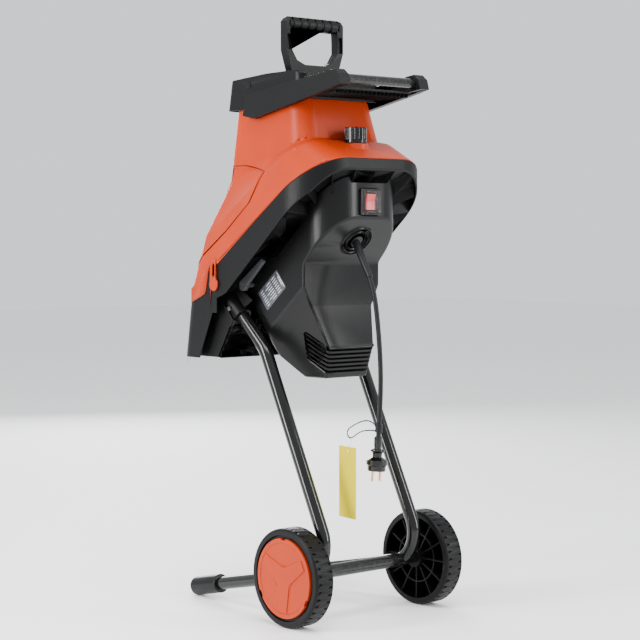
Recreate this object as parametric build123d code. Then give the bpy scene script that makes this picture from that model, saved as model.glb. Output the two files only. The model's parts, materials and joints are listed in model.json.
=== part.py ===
from build123d import *
import math
import os

# Electric garden shredder on a two-wheeled tube frame.
# Millimetres. X is across the machine, +Y is forward (the discharge side), +Z is up and
# the ground is z = 0. While it is drawn, y is measured from the wheel axle; keep() moves
# every piece so that the origin is the middle of the footprint on the ground.

# ---- wheels and axle ----
wheel_diameter = 180.0
wheel_width = 42.0
wheel_track = 326.0            # between the wheels' middle planes
wheel_rim_wall = 9.0
wheel_hub_diameter = 38.0
wheel_web = 5.0
wheel_spokes = 12
tread_depth = 3.0
tread_blocks = 40
hubcap_diameter = 145.0
hubcap_thickness = 7.0
hubcap_recess = 5.0
axle_diameter = 10.0
washer_thickness = 2.0
clip_cap_diameter = 20.0       # hole in the hubcap around the axle's clip

# ---- tube frame ----
tube_diameter = 25.0
tube_wall = 1.5
leg_spacing = 226.0            # between the two legs' centre lines
leg_lean = 26.4                # main run, degrees from upright
leg_head_lean = 47.8           # top run that enters the socket
leg_foot_drop = 11.9           # foot run, degrees below level
leg_knee_y, leg_knee_z = 136.0, 491.0
leg_knee_radius = 70.0
leg_heel_radius = 60.0
leg_head_length = 150.0        # knee corner to tube end
foot_end_y = 350.0
foot_cap_diameter = 36.5
foot_cap_length = 80.0
foot_cap_end = 6.0
axle_height = wheel_diameter / 2

# ---- rim of the body, seen from above ----
rim_half_width = 154.5
rim_rear_y = -46.0
rim_front_y = 332.0
rim_rear_corner = 88.0
rim_front_corner = 35.0
shell_wall = 3.0
parting_height = 815.0         # height of the parting plane above the axle
parting_slope = 34.9           # degrees, falling forward
parting_gap = 0.5

# ---- cutting axis: leans forward at its top ----
cut_tilt = 40.0
disc_y, disc_z = 148.0, 700.0  # centre of the cutter disc
deck_depth = 18.0              # deck top under the disc's middle
deck_wall = 3.0
skirt_depth = 41.0
disc_diameter = 200.0
disc_thickness = 6.0
spindle_diameter = 12.0
spindle_bearing_diameter = 32.0
spindle_bearing_width = 10.0
carrier_diameter = 56.0
carrier_flange = 84.0
belt_width = 15.0
pulley_centres = 80.0          # spindle to motor
large_pulley_diameter = 104.0
small_pulley_diameter = 20.8   # a fifth of the large one
belt_thickness = 3.2
belt_gap = 0.3
blade_length = 62.0
blade_width = 38.0
blade_thickness = 5.0
blade_count = 2

# ---- motor ----
stator_diameter = 84.0
stator_length = 62.0
air_gap = 0.6
armature_diameter = 46.0
shaft_diameter = 10.0
motor_bearing_diameter = 26.0
motor_bearing_width = 8.0
bracket_diameter = 92.0
bracket_thickness = 6.0
commutator_diameter = 30.0
commutator_length = 20.0
fan_blades = 9
motor_top = 76.0               # bracket top under the disc's middle

# ---- motor housing ----
housing_half_width = 95.0
housing_corner = 45.0
drum_radius = 62.0             # upright rear corners of the housing
vent_count = 6
vent_pitch = 9.0
vent_slot = 3.6
vent_rise = 30.0               # degrees, slots climb forward along the sides

# ---- switch, gland and cord ----
switch_width, switch_height = 50.0, 48.0
switch_z = 768.0
rocker_width, rocker_height = 22.0, 30.0
cord_diameter = 9.0
sleeve_diameter = 15.0
plug_diameter = 39.5

# ---- hopper ----
neck_half_width, neck_rear_y, neck_front_y, neck_top_z = 92.0, 60.0, 257.0, 962.0
foot_half_width, foot_rear_y, foot_front_y = 105.0, 40.0, 268.0
collar_half_width, collar_rear_y, collar_front_y = 100.0, 50.0, 262.0
collar_bottom_z, collar_top_z = 944.0, 1010.0
arm_half_width = 110.0
arm_thickness = 13.0
bar_diameter, bar_y, bar_z = 18.0, -48.0, 988.0
comb_ribs, comb_pitch = 19, 10.0   # thin ribs under the shelf between the arms
feed_half_width, feed_rear_y, feed_front_y = 66.0, 96.0, 172.0
pusher_gap = 3.0
pusher_y = 134.0
pusher_bottom_z = 850.0
grip_top_z = 1117.0
grip_half_width = 71.0
grip_diameter = 26.0
grip_frame_half = 9.0          # half the frame's thickness
grip_ribs = 6
knob_diameter, knob_height, knob_y, knob_z = 41.0, 29.0, 11.0, 877.0
knob_screw_diameter = 8.0
knob_screw_hole = 15.0
hinge_pin_diameter = 6.0
hinge_y, hinge_z = 342.0, 582.0
hinge_knuckle_diameter = 14.0
running_gap = 0.05             # radial, wherever one piece turns on another

# ---- derived ----
tilt = math.radians(cut_tilt)
origin_y = (foot_end_y - wheel_diameter / 2) / 2
axis_up = Vector(0, math.sin(tilt), math.cos(tilt))
downhill = Vector(0, math.cos(tilt), -math.sin(tilt))
disc_centre = Vector(0, disc_y, disc_z)
cut = Plane(origin=disc_centre, x_dir=(1, 0, 0), z_dir=axis_up)
parting_rise = math.tan(math.radians(parting_slope))
BIG = 1200.0

pieces = {}


def keep(name, shape):
    """Files one sub-part under its name, moved to the part's own origin."""
    pieces[name] = Pos(0, -origin_y, 0) * shape


def both_sides(name, shape):
    """Files a left piece and its mirror image on the right."""
    keep("left_" + name, shape)
    keep("right_" + name, mirror(shape, about=Plane.YZ))


def keep_pair(name, shape):
    """Files a left piece and its mirror image together, as a group of two."""
    keep(name, Compound([shape, mirror(shape, about=Plane.YZ)]))


def across(points, half_width, inset=0.0):
    """A side outline given as (y, z) points, drawn out across X, optionally shrunk."""
    face = Plane.YZ * Polygon(*points, align=None)
    if inset:
        face = offset(face, amount=-inset, kind=Kind.INTERSECTION)
    return extrude(face, amount=half_width, both=True)


def on_cut(height, ahead=0.0, side=0.0):
    """A plane square to the cutting axis, at a height above the disc's middle."""
    at = disc_centre + axis_up * height + downhill * ahead + Vector(side, 0, 0)
    return Plane(origin=at, x_dir=(1, 0, 0), z_dir=axis_up)


def disc(diameter, top, thickness, ahead=0.0):
    """A round slab on the cutting axis (or the motor's), its top at a given height."""
    return extrude(on_cut(top - thickness, ahead) * Circle(diameter / 2), amount=thickness)


def ring(outer, inner, top, thickness, ahead=0.0):
    return extrude(on_cut(top - thickness, ahead) * (Circle(outer / 2) - Circle(inner / 2)), amount=thickness)


def parting_z(y):
    return parting_height - parting_rise * y


def above_parting(lift=0.0):
    """Everything above the plane where the upper housing sits on the lower one."""
    low, high = -300.0, 600.0
    return across([(low, parting_z(low) + lift), (high, parting_z(high) + lift), (high, BIG), (low, BIG)], 400)


def below_cut(height):
    """Everything under a plane square to the cutting axis."""
    return extrude(on_cut(height) * Rectangle(900, 1400), amount=-900)


def plan(inset=0.0, front_y=rim_front_y):
    """The rim's outline from above: a rectangle with wide rear corners."""
    wide = 2 * (rim_half_width - inset)
    front, rear = front_y - inset, rim_rear_y + inset
    outline = Pos(0, (front + rear) / 2) * Rectangle(wide, front - rear)
    outline = fillet(outline.vertices().group_by(Axis.Y)[0], rim_rear_corner - inset)
    return fillet(outline.vertices().group_by(Axis.Y)[-1], max(rim_front_corner - inset, 2.0))


def frame_plane(rear, front):
    """A plane that spans X and runs from a rear (y, z) point to a front one."""
    along = Vector(0, front[0] - rear[0], front[1] - rear[1]).normalized()
    normal = Vector(1, 0, 0).cross(along)
    return Plane(origin=(0, rear[0], rear[1]), x_dir=(1, 0, 0), z_dir=normal)


def section_on(rear, front, half_width, rear_corner, front_corner, inset=0.0):
    """A rounded section across the housing, from a rear (y, z) point to a front one."""
    length = math.dist(rear, front)
    outline = Pos(0, length / 2) * Rectangle(2 * (half_width - inset), length - 2 * inset)
    outline = fillet(outline.vertices().group_by(Axis.Y)[0], rear_corner - inset)
    outline = fillet(outline.vertices().group_by(Axis.Y)[-1], front_corner - inset)
    return frame_plane(rear, front) * outline


# =====================================================================================
# Tube frame
# =====================================================================================
def direction(lean):
    """Unit (y, z) pointing up along a run that leans forward from upright."""
    return math.sin(math.radians(lean)), math.cos(math.radians(lean))


foot_slope = math.tan(math.radians(leg_foot_drop))
main_y, main_z = direction(leg_lean)
head_y, head_z = direction(leg_head_lean)
heel_run = (leg_knee_z - axle_height + foot_slope * leg_knee_y) / (main_z + foot_slope * main_y)
heel_y = leg_knee_y - heel_run * main_y
heel_z = leg_knee_z - heel_run * main_z
leg_x = leg_spacing / 2
leg_top = (leg_knee_y + leg_head_length * head_y, leg_knee_z + leg_head_length * head_z)
tube_end_y = foot_end_y - foot_cap_end


def foot_line_z(y):
    return axle_height - foot_slope * y


def leg_path(x):
    return FilletPolyline(
        (x, leg_top[0], leg_top[1]),
        (x, leg_knee_y, leg_knee_z),
        (x, heel_y, heel_z),
        (x, tube_end_y, foot_line_z(tube_end_y)),
        radius=[leg_knee_radius, leg_heel_radius],
    )


def tube_along(path, outer, wall):
    start = Plane(origin=path @ 0, z_dir=path % 0)
    solid = sweep(start * Circle(outer / 2), path=path)
    return solid - sweep(start * Circle(outer / 2 - wall), path=path)


def across_rod(diameter, y, z, x_from, x_to):
    """A round bar along X."""
    return extrude(Plane(origin=(x_from, y, z), z_dir=(1, 0, 0)) * Circle(diameter / 2), amount=x_to - x_from)


axle_hole = across_rod(axle_diameter, 0, axle_height, -400, 400)
left_path = leg_path(-leg_x)
left_leg = tube_along(left_path, tube_diameter, tube_wall) - axle_hole
solid_leg = sweep(Plane(origin=left_path @ 0, z_dir=left_path % 0) * Circle(tube_diameter / 2), path=left_path)

socket_diameter, socket_length, socket_screw = 36.0, 58.0, 5.0
socket_exit = leg_head_length - socket_length
screw_run = socket_exit + 22.0
screw_y, screw_z = leg_knee_y + screw_run * head_y, leg_knee_z + screw_run * head_z
screw_hole = across_rod(socket_screw, screw_y, screw_z, -leg_x - 60, -leg_x + 60)
both_sides("leg", left_leg - screw_hole)
screw_seat = -leg_x - socket_diameter / 2 - 1
leg_screw = across_rod(socket_screw, screw_y, screw_z, screw_seat, screw_seat + socket_diameter)
leg_screw += across_rod(9, screw_y, screw_z, screw_seat - 3, screw_seat)
keep_pair("leg_screws", leg_screw)

cross_tube = across_rod(tube_diameter, 0, axle_height, -leg_x, leg_x)
cross_tube -= across_rod(tube_diameter - 2 * tube_wall, 0, axle_height, -leg_x, leg_x)
keep("cross_tube", cross_tube - solid_leg - mirror(solid_leg, about=Plane.YZ))


def foot_cap():
    aim = Vector(0, math.cos(math.radians(leg_foot_drop)), -math.sin(math.radians(leg_foot_drop)))
    tip = Vector(-leg_x, foot_end_y, foot_line_z(foot_end_y))
    plane = Plane(origin=tip - aim * foot_cap_length, z_dir=aim)
    cap = extrude(plane * Circle(foot_cap_diameter / 2), amount=foot_cap_length)
    cap = fillet(cap.edges().filter_by(GeomType.CIRCLE), 3.0)
    cap = cap & Pos(0, 0, 200) * Box(BIG, BIG, 400)
    cap = cap & Pos(0, foot_end_y - 300, 0) * Box(BIG, 600, BIG)
    return cap - solid_leg


both_sides("foot_cap", foot_cap())

# =====================================================================================
# Wheels
# =====================================================================================
wheel_x = wheel_track / 2
wheel_outer_x = wheel_x + wheel_width / 2
wheel_inner_x = wheel_x - wheel_width / 2
hub_length = wheel_width + 4.0
bore_diameter = axle_diameter + 2 * running_gap


def at_wheel(x):
    """The wheel's plane at distance x from the machine's middle, facing outward."""
    return Plane(origin=(-x, 0, axle_height), x_dir=(0, 1, 0), z_dir=(-1, 0, 0))


def wheel():
    outer = wheel_diameter / 2
    rim_in = outer - tread_depth - wheel_rim_wall
    body = extrude(at_wheel(wheel_inner_x) * (Circle(outer) - Circle(rim_in)), amount=wheel_width)
    body = fillet(body.edges().filter_by(GeomType.CIRCLE).group_by(SortBy.RADIUS)[-1], 5.0)
    web_x = wheel_outer_x - hubcap_recess - wheel_web
    body += extrude(at_wheel(web_x) * Circle(rim_in + 1), amount=wheel_web)
    hub = extrude(at_wheel(wheel_inner_x - 2) * Circle(wheel_hub_diameter / 2), amount=hub_length - 8)
    ring_radius = rim_in * 0.62
    wall = extrude(at_wheel(wheel_inner_x + 6) * (Circle(ring_radius) - Circle(ring_radius - 3)),
                   amount=web_x - wheel_inner_x - 6)
    body += hub + wall
    for i in range(wheel_spokes):
        turn = 360 * i / wheel_spokes
        spoke = at_wheel(wheel_inner_x + 6) * Rot(0, 0, turn) * Pos((rim_in + wheel_hub_diameter / 2) / 2, 0)
        body += extrude(spoke * Rectangle(rim_in - wheel_hub_diameter / 2 + 4, 3), amount=web_x - wheel_inner_x - 6)
    for i in range(tread_blocks):
        turn = 360 * (i + 0.5) / tread_blocks
        for row, shift in ((0.2, 0.0), (0.8, 0.5)):
            middle = wheel_inner_x + wheel_width * row - 4
            spot = at_wheel(middle) * Rot(0, 0, turn + shift * 360 / tread_blocks) * Pos(outer, 0)
            body -= extrude(spot * Rectangle(2 * tread_depth, 3.2), amount=8)
    body -= extrude(at_wheel(wheel_inner_x - 20) * Circle(bore_diameter / 2), amount=100)
    return body


def hubcap():
    """A round cover with a raised three-armed star and a flange that sits on the web."""
    base_x = wheel_outer_x - hubcap_recess
    radius = hubcap_diameter / 2
    cap = extrude(at_wheel(base_x) * Circle(radius), amount=hubcap_thickness)
    cap -= extrude(at_wheel(base_x) * Circle(radius - 3), amount=hubcap_thickness - 2.5)
    cap -= extrude(at_wheel(base_x + hubcap_thickness - 1.2) * (Circle(radius - 8) - Circle(24)), amount=5)
    star = Polygon(*[
        (r * math.cos(math.radians(a)), r * math.sin(math.radians(a)))
        for k in range(3)
        for r, a in ((radius - 10, 90 + 120 * k - 9), (radius - 10, 90 + 120 * k + 9), (20, 150 + 120 * k))
    ], align=None)
    cap += extrude(at_wheel(base_x + hubcap_thickness - 2) * star, amount=2.8)
    for k in range(3):
        notch = at_wheel(base_x - 1) * Rot(0, 0, 270 + 120 * k) * Pos(radius, 0)
        cap -= extrude(notch * Rectangle(6, 12), amount=30)
    return cap - across_rod(clip_cap_diameter, 0, axle_height, -wheel_outer_x - 1.2, -wheel_inner_x)


both_sides("wheel", wheel())
both_sides("hubcap", hubcap())
axle_half = wheel_x + hub_length / 2 - 1
keep("axle", across_rod(axle_diameter, 0, axle_height, -axle_half, axle_half))
spacer = across_rod(20, 0, axle_height, -wheel_inner_x + 2 + 0.3, -leg_x - tube_diameter / 2 + 2.5)
both_sides("axle_spacer", spacer - across_rod(axle_diameter, 0, axle_height, -300, 0) - solid_leg)
washer_x = wheel_outer_x - hubcap_recess + 0.3
washer = across_rod(18, 0, axle_height, -washer_x - washer_thickness, -washer_x)
keep_pair("axle_washers", washer - across_rod(axle_diameter, 0, axle_height, -300, 0))

# =====================================================================================
# Lower housing: rim skirt, deck, discharge chute and leg sockets
# =====================================================================================
apron_top_y, apron_bottom_y, apron_bottom_z = rim_front_y, 350.0, 472.0
chute_half_width = 137.0
chute_lip = (250.0, 474.0)
chute_knee = (205.0, 547.0)
deck_top, deck_low = -deck_depth, -deck_depth - deck_wall
chute_throat = disc_centre + axis_up * deck_low + downhill * 146.0
skirt_rear = [(-46.5, 829), (-15, 786)]


def skirt_line(y):
    """Height of the skirt's lower edge, square to the cutting axis."""
    base = disc_centre + axis_up * -skirt_depth
    return base.Z - (y - base.Y) * math.tan(tilt)


def skirt_form(inset):
    """The tray down to the skirt's edge, with the apron that hides the chute."""
    tall = extrude(Plane.XY.offset(440) * plan(inset), amount=600)
    low, high = -200.0, 500.0
    side = [(low, 829), *skirt_rear, (206, skirt_line(206)), (233, 588), (233, 560)]
    side += [(rim_front_y + 40, 560), (rim_front_y + 40, parting_z(rim_front_y + 40)), (low, parting_z(low))]
    return tall & across(side, 400)


def apron_form(inset):
    top = Plane.XY.offset(parting_z(rim_front_y) + 8) * plan(inset, apron_top_y)
    low = Plane.XY.offset(apron_bottom_z) * plan(inset, apron_bottom_y)
    body = loft([top.face(), low.face()], ruled=True)
    side = [(233, 588), (287, apron_bottom_z), (400, apron_bottom_z), (400, 610), (226, 610)]
    return (body & across(side, 400)) - above_parting()


def lower_housing():
    outer = skirt_form(0) + apron_form(0)
    hollow = skirt_form(shell_wall)
    upper_hollow = hollow - below_cut(deck_top)
    lower_hollow = hollow & below_cut(deck_low)
    body = outer - upper_hollow - lower_hollow
    apron_hollow = apron_form(shell_wall)
    body = body - (apron_hollow & below_cut(deck_low)) - (apron_hollow - below_cut(deck_top))
    body += chute_walls()
    for x, y, turn in rim_ribs():
        rib = Pos(x, y, 700) * Rot(0, 0, turn) * Box(70, 1.8, 500)
        body += rib & skirt_form(1.0) & below_cut(deck_low + 0.5) & outside_housing()
    body += socket_solids()
    body -= extrude(on_cut(deck_low - 60) * Circle(carrier_diameter / 2 + 0.2), amount=80)
    body -= chute_mouth()
    for ahead, side in housing_screw_spots:
        body -= extrude(on_cut(deck_low - 2, ahead, side) * Circle(2.0), amount=deck_wall + 4)
    body += knob_post() + hinge_lugs(lower=True)
    for taken in (solid_leg, leg_screw):
        body = body - taken - mirror(taken, about=Plane.YZ)
    return body - across_rod(hinge_pin_diameter, hinge_y, hinge_z, -200, 200)


housing_screw_spots = [(ahead, side * 80.0) for side in (-1, 1) for ahead in (-110.0, -10.0, 80.0)]


def rim_ribs():
    """Places and headings of the thin ribs between the skirt and the motor housing."""
    spots = []
    for i in range(9):
        turn = 180 + 180 * (i + 0.5) / 9
        rad = math.radians(turn)
        spots.append((118 * math.cos(rad), 45 + 70 * math.sin(rad), turn))
    for side in (-1, 1):
        for k in range(5 if side > 0 else 3):      # the hook takes the last two places on the left
            spots.append((side * 124, 70 + 28 * k, 0))
    return spots


def outside_housing():
    return Box(BIG, BIG, 2 * BIG) - motor_form(-0.4)


recess_top, recess_low = (-27.0, 738.0), (48.0, 655.0)   # ends of the recessed rear face


def motor_form(inset):
    """The motor housing's outer form: a side outline, a rear outline and rounded corners."""
    side = [(recess_top[0], 900), recess_top, recess_low, (recess_low[0], 575), (22, 500), (36, 441), (90, 441),
            (150, 482), (225, 575), (300, 664), (300, 900)]
    wide = housing_half_width
    rear = [(-wide, 40), (-wide, -130), (-76, -160), (-57, -235), (-48, -290),
            (48, -290), (57, -235), (76, -160), (wide, -130), (wide, 40)]
    across_axis = Plane(origin=disc_centre, x_dir=(1, 0, 0), z_dir=-downhill)
    face = across_axis * Polygon(*rear, align=None)
    outline = Pos(0, -35) * Rectangle(2 * wide, 360)
    outline = fillet(outline.vertices(), housing_corner)
    above = Pos(0, recess_top[0] + 250) * Rectangle(2 * wide, 500)
    above = fillet(above.vertices().group_by(Axis.Y)[0], drum_radius)
    if inset:
        face = offset(face, amount=-inset, kind=Kind.INTERSECTION)
        outline = offset(outline, amount=-inset)
        above = offset(above, amount=-inset)
    body = across(side, wide + 5, inset) & extrude(face, amount=500, both=True)
    return body & extrude(cut * outline, amount=500, both=True) & extrude(above, amount=BIG)


def chute_outline():
    top = (chute_throat.Y, chute_throat.Z)
    deck_front = disc_centre + axis_up * deck_low + downhill * 222.0
    return [chute_lip, chute_knee, top, (deck_front.Y, deck_front.Z), (rim_front_y - 6, 560), (346, 474)]


def chute_walls():
    shape = across(chute_outline(), chute_half_width)
    shape -= across(chute_outline(), chute_half_width - 2.5) & across(
        [(chute_lip[0] + 3, chute_lip[1] - 30), (chute_lip[0] + 3, chute_lip[1] + 1),
         (chute_knee[0] + 4, chute_knee[1] + 1), (chute_throat.Y + 2.6, chute_throat.Z - 1),
         (chute_throat.Y + 60, chute_throat.Z + 60), (420, 640), (420, 440)], 300)
    grid = None
    run = math.dist(chute_lip, chute_knee)
    unit = ((chute_knee[0] - chute_lip[0]) / run, (chute_knee[1] - chute_lip[1]) / run)
    back = (-unit[1] * 3.0, unit[0] * 3.0)
    for k in range(6):
        y = chute_lip[0] + unit[0] * (1.2 + k * 14)
        z = chute_lip[1] + unit[1] * (1.2 + k * 14)
        bar = across([(y, z), (y + back[0], z + back[1]),
                      (y + back[0] + unit[0] * 1.6, z + back[1] + unit[1] * 1.6),
                      (y + unit[0] * 1.6, z + unit[1] * 1.6)], chute_half_width)
        grid = bar if grid is None else grid + bar
    strip = across([chute_lip, (chute_lip[0] + back[0], chute_lip[1] + back[1]),
                    (chute_knee[0] + back[0], chute_knee[1] + back[1]), chute_knee], 0.8)
    for k in range(-5, 6):
        grid += Pos(k * 26.6, 0, 0) * strip
    return (shape + grid) & skirt_and_apron_limits() & outside_housing()


def skirt_and_apron_limits():
    tall = extrude(Plane.XY.offset(440) * plan(1.0, apron_bottom_y), amount=400)
    return tall & below_cut(deck_low + 0.5)


def chute_mouth():
    """The opening in the deck that the cuttings leave through."""
    plane = on_cut(deck_low - 1, 184.0)
    return extrude(plane * Rectangle(2 * chute_half_width - 20, 62), amount=deck_wall + 2)


def socket_solids():
    aim = Vector(0, head_y, head_z)
    start = Vector(-leg_x, leg_knee_y, leg_knee_z) + aim * socket_exit
    plane = Plane(origin=start, z_dir=aim)
    tube = extrude(plane * Circle(socket_diameter / 2), amount=socket_length + 60)
    tube = tube & skirt_and_apron_limits() & outside_housing()
    bore = extrude(plane * Circle(tube_diameter / 2), amount=socket_length)
    web = Pos(-leg_x, 0, 0) * across([(175, 585), (205, 566), (260, 560), (300, 600), (262, 640)], 1.5)
    web = web & skirt_and_apron_limits() & outside_housing()
    one = (tube + web) - bore - screw_hole
    return one + mirror(one, about=Plane.YZ)


def knob_post():
    floor = extrude(Plane(origin=(0, knob_y, 700)) * Circle(knob_screw_hole / 2 + 4), amount=200)
    post = (floor - below_cut(deck_top - 0.5)) - above_parting()
    hole = extrude(Plane(origin=(0, knob_y, parting_z(knob_y) - 14)) * Circle(knob_screw_hole / 2), amount=80)
    return post - hole


hinge_x = [-96.0, 96.0]
knuckle_length = 18.0


def hinge_lugs(lower):
    """Two pairs of knuckles along the front edge: the lower pair outside, the upper pair inside."""
    lugs = None
    for x in hinge_x:
        if lower:
            spans = [(x - 1.5 * knuckle_length - 0.5, x - knuckle_length / 2 - 0.5),
                     (x + knuckle_length / 2 + 0.5, x + 1.5 * knuckle_length + 0.5)]
            root = [(329, 572), (333, 560), (hinge_y + 4, hinge_z - 8), (hinge_y - 6, hinge_z - 1)]
        else:
            spans = [(x - knuckle_length / 2, x + knuckle_length / 2)]
            root = [(hinge_y - 4, hinge_z + 1), (hinge_y + 4, hinge_z + 5), (326, 602), (328, 590)]
        for a, b in spans:
            lug = across_rod(hinge_knuckle_diameter, hinge_y, hinge_z, a, b)
            lug += Pos((a + b) / 2, 0, 0) * across(root, (b - a) / 2)
            lugs = lug if lugs is None else lugs + lug
    gap = hinge_pin_diameter / 2 + (0 if lower else running_gap)
    return lugs - across_rod(2 * gap, hinge_y, hinge_z, -200, 200)


keep("lower_housing", lower_housing())
hinge_reach = 1.5 * knuckle_length + 2
left_pin = across_rod(hinge_pin_diameter, hinge_y, hinge_z, hinge_x[0] - hinge_reach, hinge_x[0] + hinge_reach)
keep_pair("hinge_pins", left_pin)


# =====================================================================================
# Motor housing, switch and gland
# =====================================================================================
gland_y = 10.0
face_drop = math.atan2(recess_top[1] - recess_low[1], recess_low[0] - recess_top[0])
gland_at = Vector(0, gland_y, recess_top[1] - (gland_y - recess_top[0]) * math.tan(face_drop))
face_out = Vector(0, -math.sin(face_drop), -math.cos(face_drop))
switch_face_y = recess_top[0]
gland_hole = sleeve_diameter + 5.0


def motor_housing():
    shell = (motor_form(0) - motor_form(shell_wall)) & below_cut(deck_low)
    flange = extrude(on_cut(deck_low - 4) * Rectangle(400, 700), amount=4) & motor_form(0)
    for ahead, side in housing_screw_spots:
        boss = extrude(on_cut(deck_low - 34, ahead, side) * Circle(6.5), amount=34)
        shell += (boss & motor_form(1.0)) - motor_form_screws()
    shell += flange - extrude(on_cut(deck_low - 10, -30) * Rectangle(2 * (housing_half_width - 14), 190), amount=20) \
        - extrude(on_cut(deck_low - 10, 70) * Rectangle(2 * (housing_half_width - 14), 110), amount=20) \
        - motor_form_screws()
    rise = math.tan(math.radians(vent_rise))
    for k in range(vent_count):
        z = 494 - vent_pitch * k
        low, high = 0.0, 74.0
        slot = across([(low, z - rise * 26), (low, z - rise * 26 + vent_slot),
                       (26, z + vent_slot), (high, z + rise * (high - 26) + vent_slot),
                       (high, z + rise * (high - 26)), (26, z)], 120)
        shell -= slot - motor_form(6.0)
    opening = Pos(0, switch_face_y, switch_z) * Box(switch_width - 4, 30, switch_height - 4)
    shell -= opening
    shell -= extrude(Plane(origin=gland_at - face_out * 20, z_dir=face_out) * Circle(gland_hole / 2), amount=40)
    for radius in (31.0, 22.0):
        mark = Plane(origin=gland_at - face_out * 0.2, z_dir=face_out) * (Circle(radius) - Circle(radius - 1.6))
        shell += extrude(mark, amount=1.0) & across([(47, 640), (47, 760), (-60, 760), (-60, 640)], 60)
    return shell


def motor_form_screws():
    holes = None
    for ahead, side in housing_screw_spots:
        hole = extrude(on_cut(deck_low - 31, ahead, side) * Circle(2.0), amount=60)
        holes = hole if holes is None else holes + hole
    return holes


def housing_screws():
    """Screws driven from the deck down into the motor housing's bosses."""
    group = []
    for ahead, side in housing_screw_spots:
        shank = extrude(on_cut(deck_low - 28, ahead, side) * Circle(2.0), amount=28 + deck_wall)
        head = extrude(on_cut(deck_top, ahead, side) * Circle(4.5), amount=3)
        group.append(shank + head)
    return Compound(group)


keep("motor_housing", motor_housing())
keep("motor_housing_screws", housing_screws())

switch_front_y = switch_face_y - 4
rocker_y = switch_front_y + 3
frame_box = Pos(0, switch_face_y - 2, switch_z) * Box(switch_width, 4, switch_height)
frame_box = fillet(frame_box.edges().filter_by(Axis.Y), 3)
switch_body = Pos(0, switch_face_y + 14, switch_z) * Box(switch_width - 6, 28, switch_height - 6)
well = Pos(0, rocker_y + 6, switch_z) * Box(rocker_width + 2, 20, rocker_height + 4)
rocker_pin, pin_reach = 3.0, rocker_width / 2 + 2.5
pin_hole = across_rod(rocker_pin + 2 * running_gap, rocker_y + 3, switch_z, -pin_reach - 0.2, pin_reach + 0.2)
keep("switch_frame", frame_box + switch_body - well - pin_hole)
rocker_half = rocker_height / 2
rocker_out, rocker_in = 5.0, 8.0
rocker_shape = across([(rocker_y - rocker_out, switch_z + rocker_half), (rocker_y - 1, switch_z),
                       (rocker_y - rocker_out + 3.5, switch_z - rocker_half), (rocker_y + rocker_in, switch_z - 8),
                       (rocker_y + rocker_in, switch_z + 8)], rocker_width / 2)
rocker_rod = across_rod(rocker_pin, rocker_y + 3, switch_z, -pin_reach, pin_reach)
keep("rocker", rocker_shape + rocker_rod)
cover_depth = 9.0
cover = Pos(0, switch_front_y - cover_depth / 2, switch_z) * Box(rocker_width + 14, cover_depth, rocker_height + 12)
cover = fillet(cover.edges().filter_by(Axis.Y), 4)
cover -= Pos(0, switch_front_y - cover_depth / 2 + 1.2, switch_z) * Box(rocker_width + 11, cover_depth, rocker_height + 9)
keep("switch_cover", cover)

sleeve_tip = Vector(0, -28, 630)
sleeve_root = gland_at + Vector(0, 3, 1)
sleeve_length = (sleeve_tip - sleeve_root).length
sleeve_aim = (sleeve_tip - sleeve_root).normalized()
sleeve_base = Plane(origin=sleeve_root, z_dir=sleeve_aim)
sleeve = loft([(sleeve_base * Circle(sleeve_diameter / 2)).face(),
               (sleeve_base.offset(sleeve_length) * Circle(cord_diameter / 2 + 1.2)).face()])
flange_plane = Plane(origin=gland_at, z_dir=face_out)
sleeve += extrude(flange_plane * Circle(gland_hole / 2 + 2.5), amount=3)
sleeve += extrude(flange_plane * Circle(gland_hole / 2 - 0.1), amount=-14)
cord_bore_length = 22.0

# ---- free cord: out of the sleeve, hanging straight down to its plug ----
cord_start = sleeve_tip - sleeve_aim * cord_bore_length
cord_route = [
    (cord_start.X, cord_start.Y, cord_start.Z),
    (0.3, -31.5, 622.0),
    (1.6, -40.5, 590.0),
    (3.4, -45.0, 551.0),
    (5.8, -48.2, 504.0),
    (7.6, -49.6, 455.0),
    (7.4, -49.0, 404.0),
    (5.4, -47.6, 362.0),
    (4.0, -46.6, 330.0),
]


def bend_radii(points, share=0.45):
    """As large an arc at each corner as its two runs allow."""
    radii = []
    for a, b, c in zip(points, points[1:], points[2:]):
        before, after = Vector(*b) - Vector(*a), Vector(*c) - Vector(*b)
        turn = math.radians(before.get_angle(after))
        radii.append(share * min(before.length, after.length) / math.tan(turn / 2))
    return radii


cord_radii = bend_radii(cord_route)
cord_path = FilletPolyline(*cord_route, radius=cord_radii)
cord_tube = sweep(Plane(origin=cord_path @ 0, z_dir=cord_path % 0) * Circle(cord_diameter / 2), path=cord_path)
keep("cord", cord_tube)
keep("cord_sleeve", sleeve - cord_tube)
print("cord radii", [round(r) for r in cord_radii], "length", round(cord_path.length, 1), "volume against section",
      round(cord_tube.volume / (cord_path.length * math.pi * cord_diameter ** 2 / 4), 4))

plug_aim = (Vector(*cord_route[-1]) - Vector(*cord_route[-2])).normalized()
plug_top = Vector(*cord_route[-1])


def plug():
    """Round two-pin plug with a ribbed relief, a finger ring and a flange."""
    outline = [(0, -6), (7.5, -6), (7.5, 6), (6.6, 16), (12.5, 17), (13.5, 20), (9.5, 23), (8.5, 31),
               (plug_diameter / 2, 37), (plug_diameter / 2, 45), (17.2, 47), (16.4, 57), (0, 57)]
    side = Plane(origin=plug_top, x_dir=(1, 0, 0), z_dir=plug_aim)
    profile = Plane(origin=plug_top, x_dir=side.x_dir, z_dir=side.y_dir * -1)
    body = revolve(profile * Polygon(*outline, align=None), axis=Axis(plug_top, plug_aim))
    return body - extrude(Plane(origin=plug_top, z_dir=plug_aim) * Circle(cord_diameter / 2), amount=-20)


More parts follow.
